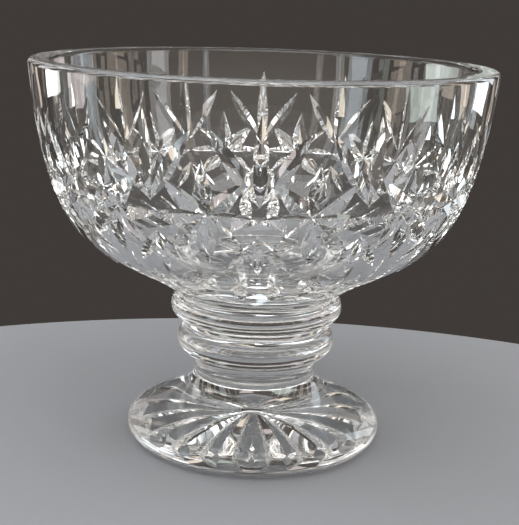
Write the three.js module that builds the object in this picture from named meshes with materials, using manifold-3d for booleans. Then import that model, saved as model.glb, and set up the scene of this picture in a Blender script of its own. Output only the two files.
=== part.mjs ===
// Footed bowl of clear, thick cut glass: a round bowl on a stem of two rings and a short neck,
// over a domed foot. Every piece is solid glass turned about +Z, in millimetres. The origin is
// the centre of the flat base. The pieces meet on flat seams, where the hot glass was joined.
import * as THREE from 'three';
import { mergeVertices } from 'three/addons/utils/BufferGeometryUtils.js';
import { ConvexGeometry } from 'three/addons/geometries/ConvexGeometry.js';
import Module from 'manifold-3d';

const wasm = await Module();
wasm.setup();

// Foot: its flat base, its round edge and the dome that sweeps up to the neck
const footRadius = 58.7;
const footHeight = 33;
const footEdgeHeight = 7;
const footEdgeRound = 7.2;
const footDomeFullness = 0.3;
const footSweepFullness = 0.58;

// Neck between the foot and the lower ring
const neckRadius = 27.5;
const neckHeight = 6.5;
const neckTopRadius = 28.5;

// The two rings of the stem, each a round bead on a short core. A bead's two heights are below
// and above its widest point.
const lowerRingRadius = 36;
const lowerBeadUnder = 6.5;
const lowerBeadOver = 6.5;
const waistRadius = 31;
const waistBelowSeam = 1.5;
const waistAboveSeam = 1.5;
const upperRingRadius = 39.1;
const upperBeadUnder = 6.8;
const upperBeadOver = 4.7;
const collarHeight = 1;

// Bowl: its outer curve, its flat lip with rounded edges, and its hollow
const bowlSeamRadius = 35.5;
const bowlHeight = 104;
const rimRadius = 101.5;
const lipWidth = 9.5;
const lipRun = 2.2;
const lipRise = 2;
const lipInnerRun = 2.5;
const lipInnerRise = 2.2;
const floorThickness = 14;
const shoulderReach = 0.51;
const shoulderLift = 0.2645;
const wallLean = 0.126;
const wallDrop = 0.8956;
const floorReach = 0.72;
const hollowLean = 0.04;
const hollowDrop = 0.79;

// Cuts in the bowl's wall, made by V-edged wheels. Heights are above the bowl's seam. An upper
// fan's foot is its rise above the middle of the stars, and a lower fan's is its drop below.
const mitreHalfAngle = THREE.MathUtils.degToRad(50);
const starCount = 14;
const starRays = 8;
const starHeight = 51;
const starDepth = 4.2;
const starWheelRadius = 150;
const fanMitres = 3;
const fanRise = 6;
const fanReach = 17.5;
const fanSpread = THREE.MathUtils.degToRad(32);
const fanDepth = 2.5;
const fanWheelRadius = 90;
const lowerFanDrop = 7;
const lowerFanReach = 9.5;
const lowerFanSpread = THREE.MathUtils.degToRad(36);
const lowerFanDepth = 2;
const lowerFanWheelRadius = 55;
const baseMitresPerStar = 2;
const baseMitreHeight = 17.5;
const baseMitreDepth = 2.8;
const baseMitreWheelRadius = 75;

// Star under the foot: rays that widen outwards, inside a plain rim to stand on
const footRays = 20;
const standingRim = 4.5;
const footRayDepth = 3;
const footRayHalfWidth = 6.8;
const footRayEndRun = 1.5;
const centrePrintRadius = 14;
const centrePrintDepth = 1.2;

// Fineness of the round surfaces
const roundSegments = 56;
const wheelSegments = 84;
const bowlSteps = 10;
const hollowSteps = 8;
const lipSteps = 2;
const beadSteps = 4;
const neckSteps = 3;
const footDomeSteps = 7;
const footEdgeSteps = 3;

// How far a cutter reaches out past the surface that it cuts
const cutterReach = 2;

// Heights of the seams
const neckSeam = footHeight;
const lowerRingSeam = neckSeam + neckHeight;
const waistSeam = lowerRingSeam + lowerBeadUnder + lowerBeadOver + waistBelowSeam;
const bowlSeam = waistSeam + waistAboveSeam + upperBeadUnder + upperBeadOver + collarHeight;
const bowlTop = bowlSeam + bowlHeight;

const point = (radius, height) => new THREE.Vector2(radius, height);

// Joins stretches of outline end to end, and leaves out a point that repeats the one before
function outline(...stretches) {
  const points = [];
  for (const next of stretches.flat()) {
    const last = points.at(-1);
    if (!last || last.distanceTo(next) > 1e-6) points.push(next);
  }
  return points;
}

// A quarter of an ellipse about a centre. Quarter 0 runs from its outermost point to its top.
function quarterArc(centre, run, rise, quarter, steps) {
  const from = (quarter * Math.PI) / 2;
  const to = from + Math.PI / 2;
  return new THREE.EllipseCurve(centre.x, centre.y, run, rise, from, to).getPoints(steps);
}

// Turns an outline about +Z. The seams start half a step round, so no cut runs along an edge.
function turned(points) {
  return new THREE.LatheGeometry(points, roundSegments, Math.PI / roundSegments).rotateX(Math.PI / 2);
}

// A closed geometry as a solid that can be cut
function solidFrom(geometry) {
  const bare = geometry.clone();
  bare.deleteAttribute('normal');
  bare.deleteAttribute('uv');
  const merged = mergeVertices(bare);
  const corners = merged.index.array;
  const triangles = [];
  for (let i = 0; i < corners.length; i += 3) {
    const [a, b, c] = corners.slice(i, i + 3);
    if (a !== b && b !== c && c !== a) triangles.push(a, b, c);
  }
  const mesh = new wasm.Mesh({
    numProp: 3,
    vertProperties: new Float32Array(merged.attributes.position.array),
    triVerts: new Uint32Array(triangles),
  });
  return new wasm.Manifold(mesh);
}

function geometryFrom(solid) {
  const mesh = solid.getMesh();
  const geometry = new THREE.BufferGeometry();
  geometry.setAttribute('position', new THREE.BufferAttribute(mesh.vertProperties, 3));
  geometry.setIndex(new THREE.BufferAttribute(mesh.triVerts, 1));
  geometry.computeVertexNormals();
  return geometry;
}

function cutAll(geometry, cutters) {
  let solid = solidFrom(geometry);
  for (const cutter of cutters) solid = solid.subtract(solidFrom(cutter));
  return geometryFrom(solid);
}

// A cubic curve between two points, with its handles given as shares of the span
function spanCurve(start, end, startShare, endShare) {
  const run = end.x - start.x;
  const rise = end.y - start.y;
  const first = point(start.x + run * startShare.x, start.y + rise * startShare.y);
  const second = point(end.x - run * endShare.x, end.y - rise * endShare.y);
  return new THREE.CubicBezierCurve(start, first, second, end);
}

// The bowl's outer curve, from the stem to the start of the lip
const wallCurve = spanCurve(
  point(bowlSeamRadius, bowlSeam),
  point(rimRadius, bowlTop - lipRise),
  point(shoulderReach, shoulderLift),
  point(wallLean, wallDrop),
);

// Place on the bowl's outer curve at a height above its seam: the outline climbs all the way
function placeOnWall(heightAboveSeam) {
  const height = bowlSeam + heightAboveSeam;
  let low = 0;
  let high = 1;
  while (high - low > 1e-6) {
    const middle = (low + high) / 2;
    if (wallCurve.getPoint(middle).y < height) low = middle;
    else high = middle;
  }
  return { at: wallCurve.getPoint(low), along: wallCurve.getTangent(low) };
}

// The wheel's two cones, set with its edge below the surface. The cut runs level at slant 0.
function wheelCut(heightAboveSeam, angle, slant, depth, wheelRadius) {
  const { at, along } = placeOnWall(heightAboveSeam);
  const outwards = new THREE.Vector3(Math.cos(angle), Math.sin(angle), 0);
  const around = new THREE.Vector3(-Math.sin(angle), Math.cos(angle), 0);
  const up = outwards.clone().multiplyScalar(along.x).setZ(along.y);
  const normal = around.clone().cross(up);
  const path = around.multiplyScalar(Math.cos(slant)).addScaledVector(up, Math.sin(slant));
  const axle = normal.clone().cross(path);
  const centre = outwards.multiplyScalar(at.x).setZ(at.y).addScaledVector(normal, wheelRadius - depth);
  const halfThickness = wheelRadius * Math.tan(mitreHalfAngle);
  const edge = [point(0, -halfThickness), point(wheelRadius, 0), point(0, halfThickness)];
  const place = new THREE.Matrix4().makeBasis(path, axle, normal).setPosition(centre);
  return new THREE.LatheGeometry(edge, wheelSegments).applyMatrix4(place);
}

// Stars: each is a sheaf of cuts that cross at one point, evenly turned
function starCuts() {
  const cuts = [];
  for (let star = 0; star < starCount; star += 1) {
    const angle = (star / starCount) * 2 * Math.PI;
    for (let ray = 0; ray < starRays / 2; ray += 1) {
      const slant = (ray / starRays) * 2 * Math.PI;
      cuts.push(wheelCut(starHeight, angle, slant, starDepth, starWheelRadius));
    }
  }
  return cuts;
}

// Fans: between the stars, short cuts spread from one foot, upwards or downwards
function fanCuts(footHeightOnWall, reach, spread, depth, wheelRadius) {
  const cuts = [];
  const footPlace = placeOnWall(footHeightOnWall);
  for (let fan = 0; fan < starCount; fan += 1) {
    const angle = ((fan + 0.5) / starCount) * 2 * Math.PI;
    for (let mitre = 0; mitre < fanMitres; mitre += 1) {
      const lean = (mitre - (fanMitres - 1) / 2) * spread;
      const height = footHeightOnWall + reach * Math.cos(lean) * footPlace.along.y;
      const turn = (reach * Math.sin(lean)) / placeOnWall(height).at.x;
      cuts.push(wheelCut(height, angle + turn, Math.PI / 2 - lean, depth, wheelRadius));
    }
  }
  return cuts;
}

// Short upright cuts round the bowl's underside
function baseMitreCuts() {
  const count = starCount * baseMitresPerStar;
  return Array.from({ length: count }, (_, index) => {
    const angle = ((index + 0.5) / count) * 2 * Math.PI;
    return wheelCut(baseMitreHeight, angle, Math.PI / 2, baseMitreDepth, baseMitreWheelRadius);
  });
}

function bowlGeometry() {
  const innerRadius = rimRadius - lipWidth;
  const outerRound = point(rimRadius - lipRun, bowlTop - lipRise);
  const innerRound = point(innerRadius + lipInnerRun, bowlTop - lipInnerRise);
  const lipOutside = quarterArc(outerRound, lipRun, lipRise, 0, lipSteps);
  const lipInside = quarterArc(innerRound, lipInnerRun, lipInnerRise, 1, lipSteps);
  const hollow = spanCurve(
    point(innerRadius, bowlTop - lipInnerRise),
    point(0, bowlSeam + floorThickness),
    point(hollowLean, hollowDrop),
    point(floorReach, 0),
  );
  const profile = outline(
    [point(0, bowlSeam)],
    wallCurve.getPoints(bowlSteps),
    lipOutside,
    lipInside,
    hollow.getPoints(hollowSteps),
  );
  const upperFans = fanCuts(starHeight + fanRise, fanReach, fanSpread, fanDepth, fanWheelRadius);
  const lowerFans = fanCuts(
    starHeight - lowerFanDrop, -lowerFanReach, lowerFanSpread, lowerFanDepth, lowerFanWheelRadius);
  return cutAll(turned(profile), [...starCuts(), ...upperFans, ...lowerFans, ...baseMitreCuts()]);
}

// A ring of the stem: a core with a round bead, between two seams
function ringGeometry(low, core, bead, high) {
  const profile = outline(
    [point(0, low), point(core.below, low)],
    quarterArc(point(core.below, bead.widest), bead.radius - core.below, bead.under, -1, beadSteps),
    quarterArc(point(core.above, bead.widest), bead.radius - core.above, bead.over, 0, beadSteps),
    [point(core.above, high), point(0, high)],
  );
  return turned(profile);
}

function neckGeometry() {
  const side = new THREE.QuadraticBezierCurve(
    point(neckRadius, neckSeam),
    point(neckRadius, lowerRingSeam - neckHeight / 2),
    point(neckTopRadius, lowerRingSeam),
  );
  const profile = outline([point(0, neckSeam)], side.getPoints(neckSteps), [point(0, lowerRingSeam)]);
  return turned(profile);
}

// One ray of the star, along +X: a wedge that starts at the centre and grows deeper and wider.
// It is drawn larger about its deepest point, so that its mouth lies below the base.
function footRayCut(angle) {
  const rayEnd = footRadius - footEdgeRound - standingRim;
  const deepest = new THREE.Vector3(rayEnd - footRayEndRun, 0, footRayDepth);
  const mouth = [
    new THREE.Vector3(0, 0, 0),
    new THREE.Vector3(rayEnd, footRayHalfWidth, 0),
    new THREE.Vector3(rayEnd, -footRayHalfWidth, 0),
  ];
  const grow = 1 + cutterReach / footRayDepth;
  const lowered = mouth.map((corner) => corner.sub(deepest).multiplyScalar(grow).add(deepest));
  return new ConvexGeometry([deepest, ...lowered]).rotateZ(angle);
}

// A shallow round hollow where the rays meet
function centrePrintCut() {
  const sphere = new THREE.SphereGeometry(centrePrintRadius, roundSegments / 2, roundSegments / 4);
  return sphere.rotateX(Math.PI / 2).translate(0, 0, centrePrintDepth - centrePrintRadius);
}

function footGeometry() {
  const flatRadius = footRadius - footEdgeRound;
  const edgeCentre = point(flatRadius, footEdgeHeight);
  const dome = spanCurve(
    point(footRadius, footEdgeHeight),
    point(neckRadius, neckSeam),
    point(0, footDomeFullness),
    point(0, footSweepFullness),
  );
  const profile = outline(
    [point(0, 0)],
    quarterArc(edgeCentre, footEdgeRound, footEdgeHeight, -1, footEdgeSteps),
    dome.getPoints(footDomeSteps),
    [point(0, neckSeam)],
  );
  const rays = Array.from({ length: footRays }, (_, ray) => footRayCut((ray / footRays) * 2 * Math.PI));
  return cutAll(turned(profile), [centrePrintCut(), ...rays]);
}

function glassPiece(name, geometry) {
  const glass = new THREE.MeshStandardMaterial({
    color: 0xe8edef,
    roughness: 0.03,
    metalness: 0,
    transparent: true,
    opacity: 0.35,
  });
  const piece = new THREE.Mesh(geometry, glass);
  piece.name = name;
  return piece;
}

const lowerCore = { below: neckTopRadius, above: waistRadius };
const lowerBead = {
  radius: lowerRingRadius,
  widest: lowerRingSeam + lowerBeadUnder,
  under: lowerBeadUnder,
  over: lowerBeadOver,
};
const upperCore = { below: waistRadius, above: bowlSeamRadius };
const upperBead = {
  radius: upperRingRadius,
  widest: waistSeam + waistAboveSeam + upperBeadUnder,
  under: upperBeadUnder,
  over: upperBeadOver,
};

const footedBowl = new THREE.Group();
footedBowl.add(
  glassPiece('foot', footGeometry()),
  glassPiece('neck', neckGeometry()),
  glassPiece('lower_ring', ringGeometry(lowerRingSeam, lowerCore, lowerBead, waistSeam)),
  glassPiece('upper_ring', ringGeometry(waistSeam, upperCore, upperBead, bowlSeam)),
  glassPiece('bowl', bowlGeometry()),
);

export default footedBowl;
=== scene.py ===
# %% [markdown]
# # A footed bowl of cut crystal
# A thick clear bowl stands on a short stem of two rings and a neck, above a domed foot. All of it
# is polished glass, so the looks come from three things: smooth turned surfaces, crisp wheel cuts
# in them, and what the glass has around it to bend and mirror. Lengths are in metres.

# %% The frame and its box
import math

import bmesh
import bpy
import numpy as np
from mathutils import Matrix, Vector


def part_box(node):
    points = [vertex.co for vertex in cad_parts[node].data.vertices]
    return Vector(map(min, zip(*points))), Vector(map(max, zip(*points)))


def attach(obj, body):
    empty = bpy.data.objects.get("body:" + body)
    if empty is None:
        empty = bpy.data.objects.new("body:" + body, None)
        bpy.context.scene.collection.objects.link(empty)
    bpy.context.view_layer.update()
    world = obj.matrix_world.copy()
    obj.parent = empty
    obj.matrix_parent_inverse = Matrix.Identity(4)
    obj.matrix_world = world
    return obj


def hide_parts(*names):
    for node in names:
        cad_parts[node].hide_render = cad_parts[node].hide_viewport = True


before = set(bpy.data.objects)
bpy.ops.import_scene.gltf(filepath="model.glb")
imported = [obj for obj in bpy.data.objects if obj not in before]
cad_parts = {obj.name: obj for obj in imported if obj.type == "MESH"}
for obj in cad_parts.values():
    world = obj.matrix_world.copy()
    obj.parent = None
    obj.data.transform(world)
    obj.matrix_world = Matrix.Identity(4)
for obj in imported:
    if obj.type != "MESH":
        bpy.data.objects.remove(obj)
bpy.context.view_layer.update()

# %% [markdown]
# ## Sizes
# The seams are where the hot glass was joined: foot to neck, neck to lower ring, lower ring to
# upper ring and upper ring to bowl. The CAD boxes give their heights, and the rest are the radii
# and curve shares of each turned outline.

# %% Sizes
MM = 0.001
NECK_SEAM = float(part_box("neck")[0][2])
LOWER_RING_SEAM = float(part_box("lower_ring")[0][2])
WAIST_SEAM = float(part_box("upper_ring")[0][2])
BOWL_SEAM = float(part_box("bowl")[0][2])
BOWL_TOP = float(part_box("bowl")[1][2])
RIM_RADIUS = 101.5 * MM
BOWL_SEAM_RADIUS = 35.5 * MM
LIP_WIDTH, LIP_RUN, LIP_RISE = 9.5 * MM, 2.2 * MM, 2 * MM
LIP_INNER_RUN, LIP_INNER_RISE = 2.5 * MM, 2.2 * MM
FLOOR_THICKNESS = 14 * MM
NECK_RADIUS, NECK_TOP_RADIUS = 27.5 * MM, 28.5 * MM
LOWER_RING_RADIUS, UPPER_RING_RADIUS, WAIST_RADIUS = 36 * MM, 39.1 * MM, 31 * MM
FOOT_RADIUS, FOOT_EDGE_HEIGHT, FOOT_EDGE_ROUND = 58.7 * MM, 7 * MM, 7.2 * MM
print("seams", NECK_SEAM, LOWER_RING_SEAM, WAIST_SEAM, BOWL_SEAM, "top", BOWL_TOP)

# %% [markdown]
# ## Turned surfaces
# Each piece is a solid of revolution. Its outline is given as a few smooth runs of (radius,
# height) points, from the axis round to the axis again, with a sharp corner only between two runs.
# A lathe in numpy is chosen over a Screw modifier because it can also store, in a UV map, how far
# along the runs each corner of a face lies. That survives cutting, so the exact surface normal can
# be worked out again afterwards and the glass stays optically smooth round every cut.


# %% Curves for the outlines
def bezier(p0, p1, p2, p3, steps):
    """Cubic curve: the four points weighted by (1-t)^3, 3t(1-t)^2, 3t^2(1-t) and t^3."""
    t = np.linspace(0, 1, steps + 1)[:, None]
    u = 1 - t
    return u**3 * p0 + 3 * t * u**2 * p1 + 3 * t**2 * u * p2 + t**3 * p3


def quarter(centre, across, tall, start, steps):
    """Quarter of an ellipse, anticlockwise, that begins start quarter turns from outwards."""
    angle = np.radians(np.linspace(90 * start, 90 * start + 90, steps + 1))
    return np.c_[centre[0] + across * np.cos(angle), centre[1] + tall * np.sin(angle)]


def line(p0, p1, steps):
    """Straight run of points from p0 to p1."""
    t = np.linspace(0, 1, steps + 1)[:, None]
    return (1 - t) * np.asarray(p0) + t * np.asarray(p1)


# %% The lathe
CUT_MARK = -1.0


def run_table(runs):
    """Way along the runs, with a gap between two runs, and the outward normal there.

    The normal of a run is its tangent turned a quarter to the right: (height step, -radius step).
    """
    ways, normals = [], []
    for k, run in enumerate(runs):
        ways.append((2 * k + np.linspace(0, 1, len(run))) / (2 * len(runs)))
        tangent = np.gradient(run, axis=0, edge_order=2)
        normal = np.c_[tangent[:, 1], -tangent[:, 0]]
        normals.append(normal / np.linalg.norm(normal, axis=1)[:, None])
    return ways, normals


def turned_mesh(name, runs, around):
    """Joined runs carried round Z. A point on the axis becomes one vertex, so both poles close."""
    ways, _ = run_table(runs)
    outline = np.vstack([runs[0]] + [run[1:] for run in runs[1:]])
    rows = len(outline)
    turn = 2 * np.pi * np.arange(around) / around
    spokes = np.stack([np.cos(turn), np.sin(turn)], -1)
    middle = outline[1:-1]
    flat = spokes[:, None, :] * middle[None, :, :1]
    tall = np.broadcast_to(middle[None, :, 1:], (around, rows - 2, 1))
    body = np.concatenate([flat, tall], -1).reshape(-1, 3)
    poles = np.array([[0, 0, outline[0, 1]], [0, 0, outline[-1, 1]]])
    index = np.arange(around * (rows - 2)).reshape(around, rows - 2)
    first = np.full((around, 1), len(body))
    last = np.full((around, 1), len(body) + 1)
    index = np.hstack([first, index, last])
    step = np.arange(around)
    faces, uvs = [], []
    low = 0
    for way, run in zip(ways, runs):
        for j in range(len(run) - 1):
            a, b = index[step, low + j], index[(step + 1) % around, low + j]
            c, d = index[(step + 1) % around, low + j + 1], index[step, low + j + 1]
            corners = [(a, 0, way[j]), (b, 1, way[j]), (c, 1, way[j + 1]), (d, 0, way[j + 1])]
            if low + j == 0:
                corners.pop(0)
            if low + j + 1 == rows - 1:
                corners.pop(3)
            faces += np.stack([vertex for vertex, _, _ in corners], -1).tolist()
            u = np.stack([(step + side) / around for _, side, _ in corners], -1)
            v = np.broadcast_to([way_value for _, _, way_value in corners], u.shape)
            uvs.append(np.stack([u, v], -1).reshape(-1, 2))
        low += len(run) - 1
    mesh = bpy.data.meshes.new(name)
    mesh.from_pydata(np.vstack([body, poles]).tolist(), [], faces)
    layer = mesh.uv_layers.new(name="turning")
    layer.data.foreach_set("uv", np.vstack(uvs).astype(np.float32).ravel())
    return mesh


# %% Placing a piece
POLISHED_SLOT, CUT_SLOT, SEAM_SLOT = 0, 1, 2
CREASE_ANGLE = math.radians(22)
SHORTEST_NORMAL = 1e-9


def add_object(name, mesh):
    """New object at the origin, in the scene."""
    piece = bpy.data.objects.new(name, mesh)
    bpy.context.scene.collection.objects.link(piece)
    return piece


def smooth_turned(mesh, runs, seam_runs):
    """Exact normals on turned faces, creased ones on cuts, and a slot for each kind of face.

    A face is polished glass, a cut, or a seam that is fused to its neighbour.
    """
    ways, normals = run_table(runs)
    corner_count = len(mesh.loops)
    mesh.polygons.foreach_set("use_smooth", np.ones(len(mesh.polygons), bool))
    mesh.set_sharp_from_angle(angle=CREASE_ANGLE)
    vectors = np.empty(corner_count * 3, np.float32)
    mesh.corner_normals.foreach_get("vector", vectors)
    vectors = vectors.reshape(-1, 3)
    uv = np.empty(corner_count * 2, np.float32)
    mesh.uv_layers["turning"].data.foreach_get("uv", uv)
    way = uv.reshape(-1, 2)[:, 1]
    vertex = np.empty(corner_count, np.int32)
    mesh.loops.foreach_get("vertex_index", vertex)
    place = np.empty(len(mesh.vertices) * 3, np.float32)
    mesh.vertices.foreach_get("co", place)
    place = place.reshape(-1, 3)[vertex]
    known, table = np.concatenate(ways), np.vstack(normals)
    out = np.interp(way, known, table[:, 0])
    up = np.interp(way, known, table[:, 1])
    angle = np.arctan2(place[:, 1], place[:, 0])
    exact = np.stack([out * np.cos(angle), out * np.sin(angle), up], -1)
    exact /= np.maximum(np.linalg.norm(exact, axis=1), SHORTEST_NORMAL)[:, None]
    turned = way > CUT_MARK / 2
    vectors[turned] = exact[turned]
    starts = np.empty(len(mesh.polygons), np.int32)
    mesh.polygons.foreach_get("loop_start", starts)
    totals = np.empty(len(mesh.polygons), np.int32)
    mesh.polygons.foreach_get("loop_total", totals)
    face_way = np.add.reduceat(way, starts) / totals
    run_of_face = np.floor(face_way * len(runs)).astype(int)
    slots = np.where(face_way < CUT_MARK / 2, CUT_SLOT, POLISHED_SLOT)
    slots[np.isin(run_of_face, seam_runs) & (slots == POLISHED_SLOT)] = SEAM_SLOT
    mesh.materials.clear()
    mesh.polygons.foreach_set("material_index", slots.astype(np.int32))
    mesh.normals_split_custom_set(vectors.tolist())
    print(mesh.name, len(mesh.polygons), "faces,", int((slots == CUT_SLOT).sum()), "of them cut")


# %% [markdown]
# ## Wheel cuts
# A cutter holds the bowl against a spinning stone wheel with a V edge. The mark is where the
# wheel's circle dips below the wall: deepest in the middle, with pointed ends. Here each mark is a
# V bar bent along the wheel's rim and taken away by a Boolean modifier, which gives straight crisp
# edges that a displaced grid can't. Bars that would cross each other go in different passes.

# %% V bars along a wheel's rim
HALF_ANGLE = math.radians(50)
BAR_STEPS = 24
BAR_HEIGHT_IN_DEPTHS = 3


def bar_mesh(name, bars):
    """Closed V bars in one mesh. A bar is (point, path, normal, depth, wheel radius, half sweep).

    At sweep s the tip is centre + R(sin s path - cos s normal), and the two shoulders stand the
    bar's height above it towards the wheel's middle, height x tan(half angle) to each side.
    """
    sweep = np.linspace(-1, 1, BAR_STEPS + 1)
    point, path, normal, depth, radius, half = (np.array(column) for column in zip(*bars))
    angle = half[:, None] * sweep
    rim = np.sin(angle)[..., None] * path[:, None] - np.cos(angle)[..., None] * normal[:, None]
    centre = (point + normal * (radius - depth)[:, None])[:, None]
    height = (BAR_HEIGHT_IN_DEPTHS * depth)[:, None, None]
    axle = np.cross(normal, path)[:, None] * height * math.tan(HALF_ANGLE)
    tip = centre + radius[:, None, None] * rim
    back = centre + (radius[:, None, None] - height) * rim
    vertices = np.stack([tip, back + axle, back - axle], 2)
    index = np.arange(vertices.size // 3).reshape(vertices.shape[:3])
    here, there = index[:, :-1], index[:, 1:]
    faces = []
    for corner in range(3):
        side = (corner + 1) % 3
        quad = np.stack(
            [here[..., corner], here[..., side], there[..., side], there[..., corner]], -1)
        faces += quad.reshape(-1, 4).tolist()
    faces += index[:, 0, ::-1].tolist() + index[:, -1].tolist()
    return cutter_mesh(name, vertices.reshape(-1, 3), faces)


def cutter_mesh(name, vertices, faces):
    """Mesh whose UVs are all the cut mark, with its faces turned outwards."""
    mesh = bpy.data.meshes.new(name)
    mesh.from_pydata(vertices.tolist(), [], faces)
    work = bmesh.new()
    work.from_mesh(mesh)
    bmesh.ops.recalc_face_normals(work, faces=work.faces)
    work.to_mesh(mesh)
    work.free()
    layer = mesh.uv_layers.new(name="turning")
    layer.data.foreach_set("uv", np.full(2 * len(mesh.loops), CUT_MARK, np.float32))
    return mesh


def cut_away(piece, mesh):
    """Take one cutter mesh away from the piece for good, and drop the cutter."""
    cutter = add_object("cutter", mesh)
    modifier = piece.modifiers.new("cut", "BOOLEAN")
    modifier.operation = "DIFFERENCE"
    modifier.solver = "MANIFOLD"
    modifier.object = cutter
    depsgraph = bpy.context.evaluated_depsgraph_get()
    result = bpy.data.meshes.new_from_object(piece.evaluated_get(depsgraph))
    piece.modifiers.remove(modifier)
    before = piece.data
    piece.data = result
    bpy.data.meshes.remove(before)
    bpy.data.objects.remove(cutter)
    bpy.data.meshes.remove(mesh)


# %% [markdown]
# ## The bowl
# A heavy gather of crystal, blown or pressed in a mould, then cut. The outline starts at the seam
# on the upper ring, coves out into the belly, stands up to a thick flat-ground lip with softened
# edges, and comes down inside to a flat-bottomed hollow. All the cuts are on the outside.

# %% The bowl's outline
WALL_LOW_PULL, WALL_HIGH_PULL = np.array([0.51, 0.2645]), np.array([0.126, 0.8956])
HOLLOW_HIGH_PULL, HOLLOW_LOW_PULL = np.array([0.04, 0.79]), np.array([0.72, 0])
SEAM_STEPS, WALL_STEPS, LIP_STEPS, LIP_TOP_STEPS, HOLLOW_STEPS = 3, 90, 12, 6, 60
BOWL_AROUND = 280
rise = BOWL_TOP - LIP_RISE - BOWL_SEAM
run_out = RIM_RADIUS - BOWL_SEAM_RADIUS
wall_start = np.array([BOWL_SEAM_RADIUS, BOWL_SEAM])
wall_end = np.array([RIM_RADIUS, BOWL_TOP - LIP_RISE])
wall_pull_low = wall_start + WALL_LOW_PULL * [run_out, rise]
wall_pull_high = wall_end - WALL_HIGH_PULL * [run_out, rise]
wall = bezier(wall_start, wall_pull_low, wall_pull_high, wall_end, WALL_STEPS)
hollow_radius = RIM_RADIUS - LIP_WIDTH
outer_round = np.array([RIM_RADIUS - LIP_RUN, BOWL_TOP - LIP_RISE])
inner_round = np.array([hollow_radius + LIP_INNER_RUN, BOWL_TOP - LIP_INNER_RISE])
lip_outside = quarter(outer_round, LIP_RUN, LIP_RISE, 0, LIP_STEPS)
lip_inside = quarter(inner_round, LIP_INNER_RUN, LIP_INNER_RISE, 1, LIP_STEPS)
lip_top = line(lip_outside[-1], lip_inside[0], LIP_TOP_STEPS)
hollow_start = lip_inside[-1]
hollow_end = np.array([0, BOWL_SEAM + FLOOR_THICKNESS])
drop = hollow_start[1] - hollow_end[1]
hollow_pull_high = hollow_start - HOLLOW_HIGH_PULL * [hollow_start[0], drop]
hollow_pull_low = hollow_end + HOLLOW_LOW_PULL * [hollow_start[0], drop]
hollow = bezier(hollow_start, hollow_pull_high, hollow_pull_low, hollow_end, HOLLOW_STEPS)
bowl_runs = [
    line((0, BOWL_SEAM), wall_start, SEAM_STEPS),
    np.vstack([wall, lip_outside[1:], lip_top[1:], lip_inside[1:], hollow[1:]]),
]
bowl = add_object("bowl_glass", turned_mesh("bowl_glass", bowl_runs, BOWL_AROUND))
print("bowl outline", len(wall) + len(hollow), "points, lip", LIP_WIDTH)

# %% [markdown]
# ### The cut pattern
# Fourteen eight-rayed stars go round the belly, each of four crossing mitres. Between every two
# stars a fan of three mitres opens upwards and a smaller one downwards, and short upright mitres go
# round the underside. The place of a cut is its height above the seam and its angle round the bowl.

# %% Where a cut lies on the wall
wall_slope = np.gradient(wall, axis=0)
wall_slope /= np.linalg.norm(wall_slope, axis=1)[:, None]


def on_wall(height):
    """Radius, height and upward tangent of the wall at a height above the bowl's seam."""
    z = BOWL_SEAM + height
    radius = np.interp(z, wall[:, 1], wall[:, 0])
    slope = np.array([np.interp(z, wall[:, 1], wall_slope[:, k]) for k in range(2)])
    return radius, z, slope / np.linalg.norm(slope)


def bar_on_wall(height, angle, slant, depth, wheel_radius, half_sweep):
    """One V bar. Its path is level at slant 0 and upright at a quarter turn."""
    radius, z, slope = on_wall(height)
    outwards = np.array([math.cos(angle), math.sin(angle), 0])
    sideways = np.array([-math.sin(angle), math.cos(angle), 0])
    up = outwards * slope[0] + np.array([0, 0, slope[1]])
    normal = np.cross(sideways, up)
    path = sideways * math.cos(slant) + up * math.sin(slant)
    point = outwards * radius + np.array([0, 0, z])
    return point, path, normal, depth, wheel_radius, half_sweep


# %% Stars
STARS, STAR_MITRES = 14, 4
STAR_HEIGHT, STAR_DEPTH, STAR_WHEEL, STAR_SWEEP = 51 * MM, 4.2 * MM, 150 * MM, 0.2
for mitre in range(STAR_MITRES):
    for parity in range(2):
        bars = [
            bar_on_wall(STAR_HEIGHT, 2 * math.pi * star / STARS, mitre * math.pi / STAR_MITRES,
                        STAR_DEPTH, STAR_WHEEL, STAR_SWEEP)
            for star in range(parity, STARS, 2)
        ]
        cut_away(bowl, bar_mesh("star_bars", bars))
print("stars", STARS, "faces", len(bowl.data.polygons))

# %% Fans
FAN_MITRES = (-1, 0, 1)
FAN_SWEEP = 0.3
FAN_RISE, FAN_REACH, FAN_SPREAD = 6 * MM, 17.5 * MM, math.radians(32)
FAN_DEPTH, FAN_WHEEL = 2.5 * MM, 90 * MM
LOWER_FAN_DROP, LOWER_FAN_REACH, LOWER_FAN_SPREAD = 7 * MM, 9.5 * MM, math.radians(36)
LOWER_FAN_DEPTH, LOWER_FAN_WHEEL = 2 * MM, 55 * MM


def cut_fans(foot_height, reach, spread, depth, wheel_radius):
    """Mitres that spread from a foot between two stars.

    The middle of each lies the reach away from the foot, leaning by the spread: above it, or
    below it if the reach is negative.
    """
    foot_tangent = on_wall(foot_height)[2]
    for mitre in FAN_MITRES:
        lean = mitre * spread
        height = foot_height + reach * math.cos(lean) * foot_tangent[1]
        turn = reach * math.sin(lean) / on_wall(height)[0]
        bars = [
            bar_on_wall(height, 2 * math.pi * (fan + 0.5) / STARS + turn, math.pi / 2 - lean,
                        depth, wheel_radius, FAN_SWEEP)
            for fan in range(STARS)
        ]
        cut_away(bowl, bar_mesh("fan_bars", bars))


cut_fans(STAR_HEIGHT + FAN_RISE, FAN_REACH, FAN_SPREAD, FAN_DEPTH, FAN_WHEEL)
cut_fans(STAR_HEIGHT - LOWER_FAN_DROP, -LOWER_FAN_REACH, LOWER_FAN_SPREAD,
         LOWER_FAN_DEPTH, LOWER_FAN_WHEEL)
print("fans", 2 * STARS, "faces", len(bowl.data.polygons))

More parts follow.
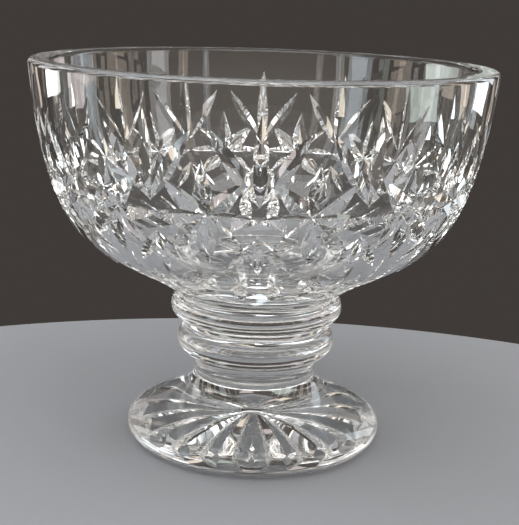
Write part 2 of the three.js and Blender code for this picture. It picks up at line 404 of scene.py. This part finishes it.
# %% Upright mitres under the belly
UPRIGHTS, UPRIGHT_PASSES = 28, 4
UPRIGHT_HEIGHT, UPRIGHT_DEPTH, UPRIGHT_WHEEL, UPRIGHT_SWEEP = 17.5 * MM, 2.8 * MM, 75 * MM, 0.4
for first in range(UPRIGHT_PASSES):
    bars = [
        bar_on_wall(UPRIGHT_HEIGHT, 2 * math.pi * (upright + 0.5) / UPRIGHTS, math.pi / 2,
                    UPRIGHT_DEPTH, UPRIGHT_WHEEL, UPRIGHT_SWEEP)
        for upright in range(first, UPRIGHTS, UPRIGHT_PASSES)
    ]
    cut_away(bowl, bar_mesh("upright_bars", bars))
smooth_turned(bowl.data, bowl_runs, [0])

# %% [markdown]
# ## The stem
# Two round beads and a short neck, gathered one on another and tooled smooth while hot. One outline
# could make the whole stem, but the frame holds three nodes there, so each piece is turned from its
# own outline and meets its neighbours on a flat seam.


# %% Rings and neck
STEM_AROUND, BEAD_STEPS, NECK_STEPS, COLLAR_STEPS = 192, 24, 12, 2
WAIST_COLLAR, BOWL_COLLAR = 1.5 * MM, 1 * MM
LOWER_BEAD_UNDER, UPPER_RING_UNDER = 6.5 * MM, 8.3 * MM


def bead(low, widest, high):
    """Two quarter ellipses that meet at the widest point of a ring."""
    under = quarter((low[0], widest[1]), widest[0] - low[0], widest[1] - low[1], -1, BEAD_STEPS)
    over = quarter((high[0], widest[1]), widest[0] - high[0], high[1] - widest[1], 0, BEAD_STEPS)
    return np.vstack([under, over[1:]])


def stem_piece(name, side_runs):
    """Turned piece between two flat seams. The seams are its first and last runs."""
    low, high = side_runs[0][0], side_runs[-1][-1]
    bottom = line((0, low[1]), low, SEAM_STEPS)
    top = line(high, (0, high[1]), SEAM_STEPS)
    runs = [bottom, *side_runs, top]
    piece = add_object(name, turned_mesh(name, runs, STEM_AROUND))
    smooth_turned(piece.data, runs, [0, len(runs) - 1])
    return piece


neck_low, neck_high = (NECK_RADIUS, NECK_SEAM), (NECK_TOP_RADIUS, LOWER_RING_SEAM)
neck_pull = np.array([NECK_RADIUS, (NECK_SEAM + LOWER_RING_SEAM) / 2])
neck_curve = bezier(
    np.array(neck_low), np.array(neck_low) / 3 + neck_pull * 2 / 3,
    np.array(neck_high) / 3 + neck_pull * 2 / 3, np.array(neck_high), NECK_STEPS)
neck = stem_piece("neck_glass", [neck_curve])
lower_low = (NECK_TOP_RADIUS, LOWER_RING_SEAM)
lower_high = (WAIST_RADIUS, WAIST_SEAM - WAIST_COLLAR)
lower_widest = (LOWER_RING_RADIUS, LOWER_RING_SEAM + LOWER_BEAD_UNDER)
lower_ring = stem_piece("lower_ring_glass", [
    bead(lower_low, lower_widest, lower_high),
    line(lower_high, (WAIST_RADIUS, WAIST_SEAM), COLLAR_STEPS),
])
upper_low = (WAIST_RADIUS, WAIST_SEAM + WAIST_COLLAR)
upper_high = (BOWL_SEAM_RADIUS, BOWL_SEAM - BOWL_COLLAR)
upper_widest = (UPPER_RING_RADIUS, WAIST_SEAM + UPPER_RING_UNDER)
upper_ring = stem_piece("upper_ring_glass", [
    line((WAIST_RADIUS, WAIST_SEAM), upper_low, COLLAR_STEPS),
    bead(upper_low, upper_widest, upper_high),
    line(upper_high, (BOWL_SEAM_RADIUS, BOWL_SEAM), COLLAR_STEPS),
])

# %% [markdown]
# ## The foot
# A thick disc, drawn up into a dome that sweeps into the neck. A star of twenty tapering V rays is
# cut up into its underside, with a shallow polished print in the middle, and it stands on the plain
# rim outside the rays. Seen from above, the dome magnifies this star, so bump in a material would
# look flat there, and the rays are cut as real wedges.

# %% The foot's outline
DOME_LOW_PULL, DOME_HIGH_PULL = 0.3, 0.58
FOOT_AROUND, UNDERSIDE_STEPS, FOOT_EDGE_STEPS, DOME_STEPS = 240, 8, 16, 60
foot_flat = FOOT_RADIUS - FOOT_EDGE_ROUND
edge_middle = (foot_flat, FOOT_EDGE_HEIGHT)
foot_edge = quarter(edge_middle, FOOT_EDGE_ROUND, FOOT_EDGE_HEIGHT, -1, FOOT_EDGE_STEPS)
dome_low = np.array([FOOT_RADIUS, FOOT_EDGE_HEIGHT])
dome_high = np.array([NECK_RADIUS, NECK_SEAM])
dome_rise = dome_high[1] - dome_low[1]
dome = bezier(dome_low, dome_low + [0, DOME_LOW_PULL * dome_rise],
              dome_high - [0, DOME_HIGH_PULL * dome_rise], dome_high, DOME_STEPS)
foot_runs = [
    line((0, 0), (foot_flat, 0), UNDERSIDE_STEPS),
    np.vstack([foot_edge, dome[1:]]),
    line(dome_high, (0, NECK_SEAM), SEAM_STEPS),
]
foot = add_object("foot_glass", turned_mesh("foot_glass", foot_runs, FOOT_AROUND))
print("foot flat out to", foot_flat)

# %% The star under the foot
FOOT_RAYS = 20
RAY_DEEPEST = np.array([45.5, 0.0, 3.0]) * MM
RAY_CORNER = np.array([47.0, 6.8, 0.0]) * MM
RAY_INNER = 5 * MM
MOUTH_BELOW = 0.04 * MM
PRINT_BALL_RADIUS, PRINT_DEPTH = 14 * MM, 1.2 * MM
PRINT_AROUND, PRINT_ROWS = 96, 24


def foot_ray_cutter():
    """Rays as wedges: two flanks through the centre, the deepest point and an outer corner."""
    flank = np.cross(RAY_DEEPEST, RAY_CORNER)
    inner_half = (flank[2] * MOUTH_BELOW - flank[0] * RAY_INNER) / flank[1]
    inner_top = RAY_INNER * RAY_DEEPEST[2] / RAY_DEEPEST[0]
    grow = 1 + MOUTH_BELOW / RAY_DEEPEST[2]
    outer = RAY_DEEPEST + (RAY_CORNER - RAY_DEEPEST) * grow
    wedge = np.array([
        [RAY_INNER, 0, inner_top],
        [RAY_INNER, inner_half, -MOUTH_BELOW],
        [RAY_INNER, -inner_half, -MOUTH_BELOW],
        RAY_DEEPEST,
        outer,
        outer * [1, -1, 1],
    ])
    towards_viewer = -np.pi / 2
    angle = 2 * np.pi * np.arange(FOOT_RAYS) / FOOT_RAYS + towards_viewer
    x = np.cos(angle)[:, None] * wedge[:, 0] - np.sin(angle)[:, None] * wedge[:, 1]
    y = np.sin(angle)[:, None] * wedge[:, 0] + np.cos(angle)[:, None] * wedge[:, 1]
    vertices = np.stack([x, y, np.broadcast_to(wedge[:, 2], x.shape)], -1).reshape(-1, 3)
    quads = np.array([[0, 3, 4, 1], [0, 2, 5, 3], [1, 4, 5, 2]])
    triangles = np.array([[3, 5, 4], [0, 1, 2]])
    offset = len(wedge) * np.arange(FOOT_RAYS)[:, None, None]
    faces = (quads + offset).reshape(-1, 4).tolist() + (triangles + offset).reshape(-1, 3).tolist()
    return cutter_mesh("foot_rays", vertices, faces)


def print_cutter(radius, depth):
    """A ball under the foot whose top reaches depth above the underside."""
    around, rows = PRINT_AROUND, PRINT_ROWS
    turn = 2 * np.pi * np.arange(around) / around
    tilt = np.linspace(0, np.pi, rows + 2)[1:-1]
    ring = np.sin(tilt)[None, :] * radius
    x, y = np.cos(turn)[:, None] * ring, np.sin(turn)[:, None] * ring
    z = np.broadcast_to(depth - radius + radius * np.cos(tilt), x.shape)
    vertices = np.vstack([
        np.stack([x, y, z], -1).reshape(-1, 3), [[0, 0, depth], [0, 0, depth - 2 * radius]]])
    index = np.arange(around * rows).reshape(around, rows)
    after = np.roll(index, -1, axis=0)
    quads = np.stack([index[:, :-1], index[:, 1:], after[:, 1:], after[:, :-1]], -1)
    top = np.stack([index[:, 0], after[:, 0], np.full(around, around * rows)], -1)
    bottom = np.stack([after[:, -1], index[:, -1], np.full(around, around * rows + 1)], -1)
    return cutter_mesh(
        "print", vertices, quads.reshape(-1, 4).tolist() + top.tolist() + bottom.tolist())


cut_away(foot, foot_ray_cutter())
cut_away(foot, print_cutter(PRINT_BALL_RADIUS, PRINT_DEPTH))
smooth_turned(foot.data, foot_runs, [2])

# %% [markdown]
# ## Glass
# Lead crystal is colourless and bends light strongly, with an index near 1.55. Polishing leaves a
# very slight waviness, finer on the cuts than on the turned faces, and use leaves small dull specks
# and a scuffed standing rim. A shared group works these out from Object coordinates: a height for a
# Bump node and a roughness. The joined faces inside the stem are fused, so nothing shows there.


# %% The shared surface group
def new_group(name, inputs, outputs):
    """Shader node group with float inputs (name, default) and outputs (name)."""
    group = bpy.data.node_groups.new(name, "ShaderNodeTree")
    for label, default in inputs:
        socket = group.interface.new_socket(label, in_out="INPUT", socket_type="NodeSocketFloat")
        socket.default_value = default
    for label in outputs:
        group.interface.new_socket(label, in_out="OUTPUT", socket_type="NodeSocketFloat")
    enter = group.nodes.new("NodeGroupInput")
    leave = group.nodes.new("NodeGroupOutput")
    return group, enter, leave


def math_node(tree, operation, first, second):
    """Math node whose inputs are sockets or plain numbers."""
    node = tree.nodes.new("ShaderNodeMath")
    node.operation = operation
    for socket, value in zip(node.inputs, (first, second)):
        if isinstance(value, (int, float)):
            socket.default_value = value
        else:
            tree.links.new(value, socket)
    return node.outputs[0]


def noise_node(tree, coordinates, scale, detail):
    """Noise value at Object coordinates."""
    node = tree.nodes.new("ShaderNodeTexNoise")
    node.inputs["Scale"].default_value = scale
    node.inputs["Detail"].default_value = detail
    tree.links.new(coordinates, node.inputs["Vector"])
    return node.outputs["Fac"]


GRAIN_SCALE, GRAIN_DETAIL = 900.0, 2.0
WAVE_SCALE, WAVE_DETAIL = 40.0, 1.0
SPECK_SCALE, SPECK_SIZE, SPECK_ROUGHNESS = 260.0, 0.06, 0.25
SCRATCH_SCALE, SCRATCH_DETAIL = 350.0, 3.0
SCUFF_HEIGHT, SCUFF_ROUGHNESS = 0.3 * MM, 0.5
surface_group, enter, leave = new_group(
    "polished_surface",
    [("Wave Scale", WAVE_SCALE), ("Wave Height", 1.0), ("Grain", 0.0), ("Haze", 0.0)],
    ["Height", "Roughness"],
)
place = surface_group.nodes.new("ShaderNodeTexCoord").outputs["Object"]
wave = noise_node(surface_group, place, WAVE_SCALE, WAVE_DETAIL)
surface_group.links.new(enter.outputs["Wave Scale"], wave.node.inputs["Scale"])
grain = noise_node(surface_group, place, GRAIN_SCALE, GRAIN_DETAIL)
wave_height = math_node(surface_group, "MULTIPLY", wave, enter.outputs["Wave Height"])
grain_height = math_node(surface_group, "MULTIPLY", grain, enter.outputs["Grain"])
height_sum = math_node(surface_group, "ADD", wave_height, grain_height)
surface_group.links.new(height_sum, leave.inputs["Height"])
specks = surface_group.nodes.new("ShaderNodeTexVoronoi")
specks.inputs["Scale"].default_value = SPECK_SCALE
surface_group.links.new(place, specks.inputs["Vector"])
speck_mask = math_node(surface_group, "LESS_THAN", specks.outputs["Distance"], SPECK_SIZE)
speck_rough = math_node(surface_group, "MULTIPLY", speck_mask, SPECK_ROUGHNESS)
haze = math_node(surface_group, "MULTIPLY", grain, enter.outputs["Haze"])
dull = math_node(surface_group, "ADD", haze, speck_rough)
split = surface_group.nodes.new("ShaderNodeSeparateXYZ")
surface_group.links.new(place, split.inputs[0])
on_table = math_node(surface_group, "LESS_THAN", split.outputs["Z"], SCUFF_HEIGHT)
scratch = noise_node(surface_group, place, SCRATCH_SCALE, SCRATCH_DETAIL)
scratch_rough = math_node(surface_group, "MULTIPLY", scratch, SCUFF_ROUGHNESS)
scuff = math_node(surface_group, "MULTIPLY", on_table, scratch_rough)
roughness_sum = math_node(surface_group, "ADD", dull, scuff)
surface_group.links.new(roughness_sum, leave.inputs["Roughness"])
print("surface group", len(surface_group.nodes), "nodes")


# %% The materials
GLASS_TINT = (0.975, 0.985, 0.985, 1.0)
GLASS_INDEX = 1.55
BUMP_DISTANCE = 0.0001


def glass(name, wave_scale, wave_height, grain_height, haze_amount):
    """Principled glass with the shared surface group."""
    material = bpy.data.materials.new(name)
    material.use_nodes = True
    tree = material.node_tree
    shader = tree.nodes["Principled BSDF"]
    shader.inputs["Base Color"].default_value = GLASS_TINT
    shader.inputs["IOR"].default_value = GLASS_INDEX
    shader.inputs["Metallic"].default_value = 0.0
    shader.inputs["Transmission Weight"].default_value = 1.0
    surface = tree.nodes.new("ShaderNodeGroup")
    surface.node_tree = surface_group
    surface.inputs["Wave Scale"].default_value = wave_scale
    surface.inputs["Wave Height"].default_value = wave_height
    surface.inputs["Grain"].default_value = grain_height
    surface.inputs["Haze"].default_value = haze_amount
    bump = tree.nodes.new("ShaderNodeBump")
    bump.inputs["Strength"].default_value = 1.0
    bump.inputs["Distance"].default_value = BUMP_DISTANCE
    tree.links.new(surface.outputs["Height"], bump.inputs["Height"])
    tree.links.new(bump.outputs["Normal"], shader.inputs["Normal"])
    tree.links.new(surface.outputs["Roughness"], shader.inputs["Roughness"])
    return material


polished = glass(
    "polished_glass", wave_scale=45.0, wave_height=1.0, grain_height=0.0, haze_amount=0.01)
cut = glass(
    "cut_glass", wave_scale=120.0, wave_height=0.5, grain_height=0.01, haze_amount=0.02)
fused = bpy.data.materials.new("fused_seam")
fused.use_nodes = True
fused.node_tree.nodes.remove(fused.node_tree.nodes["Principled BSDF"])
clear = fused.node_tree.nodes.new("ShaderNodeBsdfTransparent")
fused.node_tree.links.new(
    clear.outputs["BSDF"], fused.node_tree.nodes["Material Output"].inputs["Surface"])
print("materials", polished.name, cut.name, fused.name)

# %% [markdown]
# ## Joining the pieces to the frame
# Each glass piece rides on the one body and takes the place of its CAD node.

# %% Pieces on the frame
for piece, node in (
    (bowl, "bowl"), (upper_ring, "upper_ring"), (lower_ring, "lower_ring"),
    (neck, "neck"), (foot, "foot"),
):
    for material in (polished, cut, fused):
        piece.data.materials.append(material)
    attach(piece, "root")
    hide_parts(node)
    print(piece.name, "stands for", node)

# %% [markdown]
# ## The stage
# A pale round table top stands in a plain surround, because clear glass only shows by what it
# bends: pale from below, dark behind, dim to the sides, and white from the soft boxes. Where the
# viewer stands, the surround glows softly like a wide curtained window, which lays a veil of light
# on the walls. All rays see the same surround, also those that pass through the glass. One large
# lamp would give one large mirror patch, so narrow upright boxes stand all round instead, and the
# wall draws them out into long streaks.

# %% Floor
TABLE_RADIUS, TABLE_MIDDLE, TABLE_CORNERS = 0.39, -0.21, 256
FLOOR_GAP = 0.3 * MM
FLOOR_COLOUR, FLOOR_ROUGHNESS = (0.4, 0.42, 0.46, 1), 0.6
bpy.ops.mesh.primitive_circle_add(
    vertices=TABLE_CORNERS, radius=TABLE_RADIUS, fill_type="NGON")
floor = bpy.context.object
floor.name = "floor"
floor.location = (0, TABLE_MIDDLE, -FLOOR_GAP)
floor_paint = bpy.data.materials.new("pale_floor")
floor_paint.use_nodes = True
floor_shader = floor_paint.node_tree.nodes["Principled BSDF"]
floor_shader.inputs["Base Color"].default_value = FLOOR_COLOUR
floor_shader.inputs["Roughness"].default_value = FLOOR_ROUGHNESS
floor.data.materials.append(floor_paint)
print("table", 2 * TABLE_RADIUS, "across")

# %% Surround
# Tones follow the cosine between a direction and the window's middle: dark behind the bowl, dim to
# the sides, and a glow in front that stays above the sill
DARK = (0.051, 0.044, 0.04, 1)
DIM = (0.14, 0.128, 0.112, 1)
GLOW = (0.6, 0.54, 0.47, 1)
WINDOW = (0.14, -0.97, 0.2)
DIM_EDGE, DIM_FULL = -0.85, -0.2
GLOW_EDGE, GLOW_FULL = 0.1, 0.8
SILL_LOW, SILL_HIGH = 0.0, 0.12
# Places of the sockets on a Mix node that mixes colours
MIX_FACTOR, MIX_FIRST, MIX_SECOND, MIX_RESULT = 0, 6, 7, 2
world = bpy.data.worlds.new("surround")
bpy.context.scene.world = world
world.use_nodes = True
sky = world.node_tree
direction = sky.nodes.new("ShaderNodeTexCoord").outputs["Generated"]


def smooth_step(tree, value, low, high):
    """Map Range node that climbs smoothly from 0 at low to 1 at high."""
    node = tree.nodes.new("ShaderNodeMapRange")
    node.interpolation_type = "SMOOTHSTEP"
    node.inputs["From Min"].default_value = low
    node.inputs["From Max"].default_value = high
    tree.links.new(value, node.inputs["Value"])
    return node.outputs["Result"]


def mix_colours(tree, factor):
    """Mix node between two colours, driven by a factor socket."""
    node = tree.nodes.new("ShaderNodeMix")
    node.data_type = "RGBA"
    tree.links.new(factor, node.inputs[MIX_FACTOR])
    return node


towards = sky.nodes.new("ShaderNodeVectorMath")
towards.operation = "DOT_PRODUCT"
towards.inputs[1].default_value = WINDOW
sky.links.new(direction, towards.inputs[0])
climb = sky.nodes.new("ShaderNodeSeparateXYZ")
sky.links.new(direction, climb.inputs[0])
across = smooth_step(sky, towards.outputs["Value"], GLOW_EDGE, GLOW_FULL)
above = smooth_step(sky, climb.outputs["Z"], SILL_LOW, SILL_HIGH)
room = mix_colours(sky, smooth_step(sky, towards.outputs["Value"], DIM_EDGE, DIM_FULL))
room.inputs[MIX_FIRST].default_value = DARK
room.inputs[MIX_SECOND].default_value = DIM
glowing = mix_colours(sky, math_node(sky, "MULTIPLY", across, above))
sky.links.new(room.outputs[MIX_RESULT], glowing.inputs[MIX_FIRST])
glowing.inputs[MIX_SECOND].default_value = GLOW
sky.links.new(glowing.outputs[MIX_RESULT], sky.nodes["Background"].inputs["Color"])
print("surround", len(sky.nodes), "nodes")


# %% Soft boxes
def soft_box(name, place, target, width, height, power, colour):
    """Area lamp that faces a target and isn't seen itself."""
    lamp = bpy.data.lights.new(name, "AREA")
    lamp.shape = "RECTANGLE"
    lamp.size, lamp.size_y = width, height
    lamp.energy = power
    lamp.color = colour
    box = bpy.data.objects.new(name, lamp)
    forward = np.array(target) - np.array(place)
    forward = forward / np.linalg.norm(forward)
    right = np.cross(forward, [0, 0, 1])
    right = right / np.linalg.norm(right)
    up = np.cross(right, forward)
    box.matrix_world = Matrix([
        [right[0], up[0], -forward[0], place[0]],
        [right[1], up[1], -forward[1], place[1]],
        [right[2], up[2], -forward[2], place[2]],
        [0, 0, 0, 1],
    ])
    box.visible_camera = False
    bpy.context.scene.collection.objects.link(box)


# %% Strips round the bowl and a box above it
STRIP_DISTANCE, STRIP_MIDDLE, STRIP_HEIGHT = 1.0, 0.45, 0.8


def strip_box(azimuth, width, level, colour):
    """Upright soft box at an azimuth from the front, whose face has a given brightness level.

    An even lamp of power P and area A has a level of P / (pi A).
    """
    turn = math.radians(azimuth)
    place = (STRIP_DISTANCE * math.sin(turn), -STRIP_DISTANCE * math.cos(turn), STRIP_MIDDLE)
    power = level * math.pi * width * STRIP_HEIGHT
    target = (0, 0, STRIP_MIDDLE)
    soft_box(f"strip_{azimuth}", place, target, width, STRIP_HEIGHT, power, colour)


WARM, WHITE, COOL = (1.0, 0.86, 0.72), (1.0, 1.0, 1.0), (0.84, 0.93, 1.0)
ROSE, GREEN = (1.0, 0.88, 0.86), (0.88, 1.0, 0.92)
TOP_BOX_PLACE, TOP_BOX_AIM = (-0.1, -0.25, 1.3), (0, 0, 0.1)
TOP_BOX_WIDTH, TOP_BOX_HEIGHT, TOP_BOX_POWER = 1.3, 0.9, 8.0
soft_box("top_box", TOP_BOX_PLACE, TOP_BOX_AIM, TOP_BOX_WIDTH, TOP_BOX_HEIGHT, TOP_BOX_POWER, WHITE)
# Each strip is (azimuth in degrees, width, level, colour)
STRIPS = (
    (-34, 0.04, 1.9, ROSE), (-47, 0.05, 2.4, WHITE), (-60, 0.22, 3.2, COOL),
    (-76, 0.06, 1.8, GREEN), (-90, 0.16, 2.4, WARM), (-106, 0.06, 2.0, WHITE),
    (-122, 0.24, 2.8, WHITE), (-141, 0.06, 1.0, WARM), (-155, 0.10, 0.5, ROSE),
    (36, 0.04, 1.9, COOL), (50, 0.06, 2.1, WARM), (67, 0.20, 2.8, WHITE),
    (84, 0.06, 1.8, ROSE), (98, 0.16, 2.4, WARM), (114, 0.06, 2.0, WARM),
    (130, 0.24, 2.8, COOL), (149, 0.06, 0.8, WARM), (162, 0.10, 0.4, GREEN),
)
for strip in STRIPS:
    strip_box(*strip)
print("strips", len(STRIPS))

# %% Light paths
# Glass this thick passes light through many faces before it comes out, so paths are kept long
cycles = bpy.context.scene.cycles
cycles.max_bounces = 32
cycles.transmission_bounces = 32
cycles.glossy_bounces = 16
cycles.transparent_max_bounces = 32
print("bounces", cycles.max_bounces)

# %% [markdown]
# ## Camera
# The camera stands where the photograph's outline says: about half a metre away, a little above the
# rim, looking down by 14 degrees and tilted by not quite two.

# %% Camera
LENS = 77.3
CAMERA_PLACE = (0.0, -0.49928, 0.20533)
PITCH, YAW, ROLL = math.radians(13.95), math.radians(0.0915), math.radians(1.876)
camera_data = bpy.data.cameras.new("camera")
camera_data.lens = LENS
camera = bpy.data.objects.new("camera", camera_data)
bpy.context.scene.collection.objects.link(camera)
bpy.context.scene.camera = camera
ahead = np.array([
    math.sin(YAW) * math.cos(PITCH), math.cos(YAW) * math.cos(PITCH), -math.sin(PITCH)])
level_right = np.cross(ahead, [0, 0, 1])
level_right /= np.linalg.norm(level_right)
level_up = np.cross(level_right, ahead)
right = level_right * math.cos(ROLL) + level_up * math.sin(ROLL)
up = level_up * math.cos(ROLL) - level_right * math.sin(ROLL)
camera.matrix_world = Matrix([
    [right[0], up[0], -ahead[0], CAMERA_PLACE[0]],
    [right[1], up[1], -ahead[1], CAMERA_PLACE[1]],
    [right[2], up[2], -ahead[2], CAMERA_PLACE[2]],
    [0, 0, 0, 1],
])
print("camera at", CAMERA_PLACE)
bpy.context.scene.view_settings.view_transform = "Standard"
